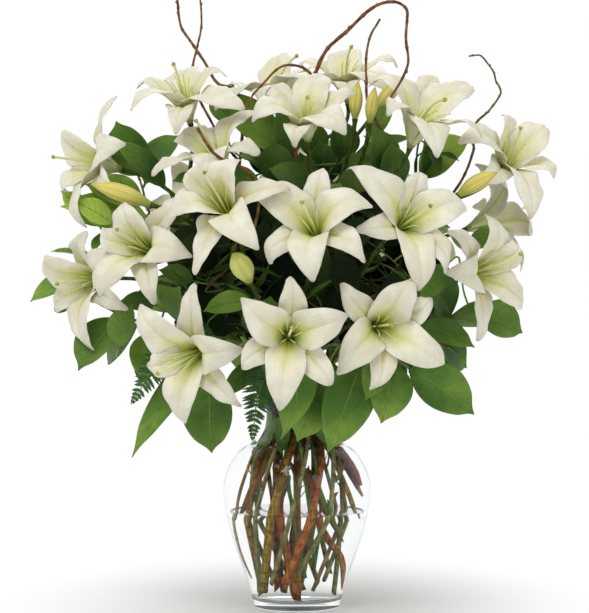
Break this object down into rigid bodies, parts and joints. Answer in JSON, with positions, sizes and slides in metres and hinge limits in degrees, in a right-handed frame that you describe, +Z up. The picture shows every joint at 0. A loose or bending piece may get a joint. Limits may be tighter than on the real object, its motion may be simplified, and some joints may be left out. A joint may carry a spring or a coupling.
{
  "type": "vase of lilies",
  "caption": "Clear glass urn vase of water with a round bunch of open white lilies and buds, salal leaves, fern fronds and curly willow twigs",
  "frame": {"origin": "centre of the underside of the vase's foot", "axes": "+Z up out of the vase, -Y towards the front of the bunch, +X to the right as seen from the front"},
  "size_m": [0.5404, 0.4999, 0.6903],
  "materials": {
    "glass": "clear polished glass",
    "water": "clear still water",
    "petal": "waxy white petal with a green-yellow throat",
    "bud": "waxy yellow-green bud",
    "lily_stem": "green stalk, olive and brown under water",
    "leaf": "leathery mid green leaf with a lighter rib",
    "fern": "dark green fern leaflets",
    "twig": "smooth red-brown bark"
  },
  "bodies": {
    "root": {"vase": "glass", "water": "water", "bloom_front_center": "petal", "bloom_front_left": "petal", "bloom_front_right": "petal", "bloom_middle_center": "petal", "bloom_middle_right": "petal", "bloom_middle_left": "petal", "bloom_left_front": "petal", "bloom_left_low": "petal", "bloom_left_high": "petal", "bloom_top_left": "petal", "bloom_upper_left": "petal", "bloom_upper_center": "petal", "bloom_top_center": "petal", "bloom_top_back": "petal", "bloom_upper_right": "petal", "bloom_right_high": "petal", "bloom_right_back": "petal", "bloom_right_low": "petal", "bloom_back_left": "petal", "bloom_back_center": "petal", "bloom_back_right": "petal", "bloom_back_low": "petal", "bud_left": "bud", "bud_front": "bud", "bud_right": "bud", "bud_top_left": "bud", "bud_top_middle": "bud", "bud_top_right": "bud", "willow_left": "twig", "willow_center": "twig", "willow_right": "twig", "willow_far_right": "twig", "salal_left_low": "leaf", "salal_left_high": "leaf", "salal_top": "leaf", "salal_top_right": "leaf", "salal_right": "leaf", "salal_front_left": "leaf", "salal_front_right": "leaf", "salal_back_left": "leaf", "salal_back_right": "leaf", "fern_front": "fern", "fern_left": "fern", "fern_right": "fern", "lily_stem_left": "lily_stem", "lily_stem_front_left": "lily_stem", "lily_stem_front": "lily_stem", "lily_stem_front_right": "lily_stem", "lily_stem_right": "lily_stem", "lily_stem_center": "lily_stem", "lily_stem_back": "lily_stem"}
  },
  "joints": []
}
